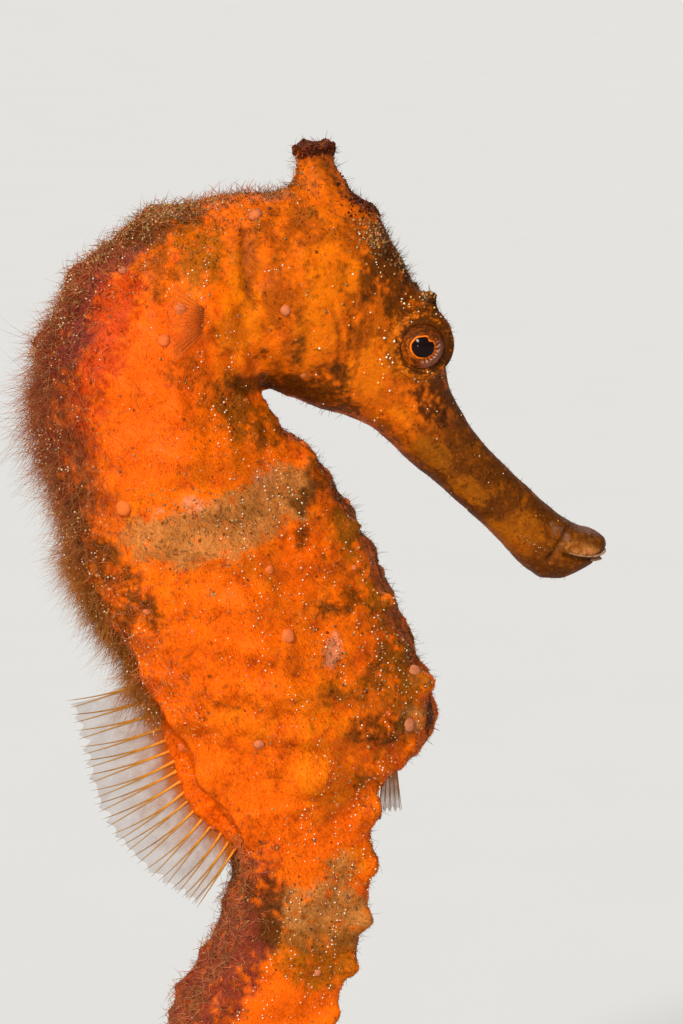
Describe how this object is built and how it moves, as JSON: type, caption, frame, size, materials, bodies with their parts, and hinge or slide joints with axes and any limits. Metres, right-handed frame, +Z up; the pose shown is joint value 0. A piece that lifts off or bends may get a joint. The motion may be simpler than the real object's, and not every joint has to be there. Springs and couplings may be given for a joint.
{
  "type": "estuary seahorse model on a display stand",
  "caption": "Life-size orange seahorse overgrown with short algae, head bent down and tail curled forwards, held by cradles on rods over a round base.",
  "frame": {"origin": "centre of the underside of the round base", "axes": "+X the way the seahorse faces, +Z up, and the seahorse's left side at +Y, with y = 0 its median plane"},
  "size_m": [0.0567, 0.054, 0.1184],
  "materials": {
    "skin": "orange bony-ringed skin with a fine felt of algae",
    "snout_skin": "brown and ochre mottled skin",
    "fin": "thin clear membrane on golden rays",
    "eye": "clear wet cornea over a ringed iris",
    "wood": "dark stained wood with a satin lacquer",
    "steel": "satin steel rod"
  },
  "bodies": {
    "root": {"upper_jaw": "snout_skin", "lower_jaw": "snout_skin", "snout": "snout_skin", "head": "skin", "coronet": "skin", "gill_cover_right": "skin", "gill_cover_left": "skin", "eye_right": "eye", "eye_left": "eye", "neck": "skin", "chest": "skin", "belly": "skin", "tail_base": "skin", "tail_upper": "skin", "tail_middle": "skin", "tail_lower": "skin", "tail_tip": "skin", "dorsal_fin": "fin", "anal_fin": "fin", "pectoral_fin_right": "fin", "pectoral_fin_left": "fin", "stand_base": "wood", "stand_rod_rear": "steel", "stand_rod_front": "steel"}
  },
  "joints": []
}
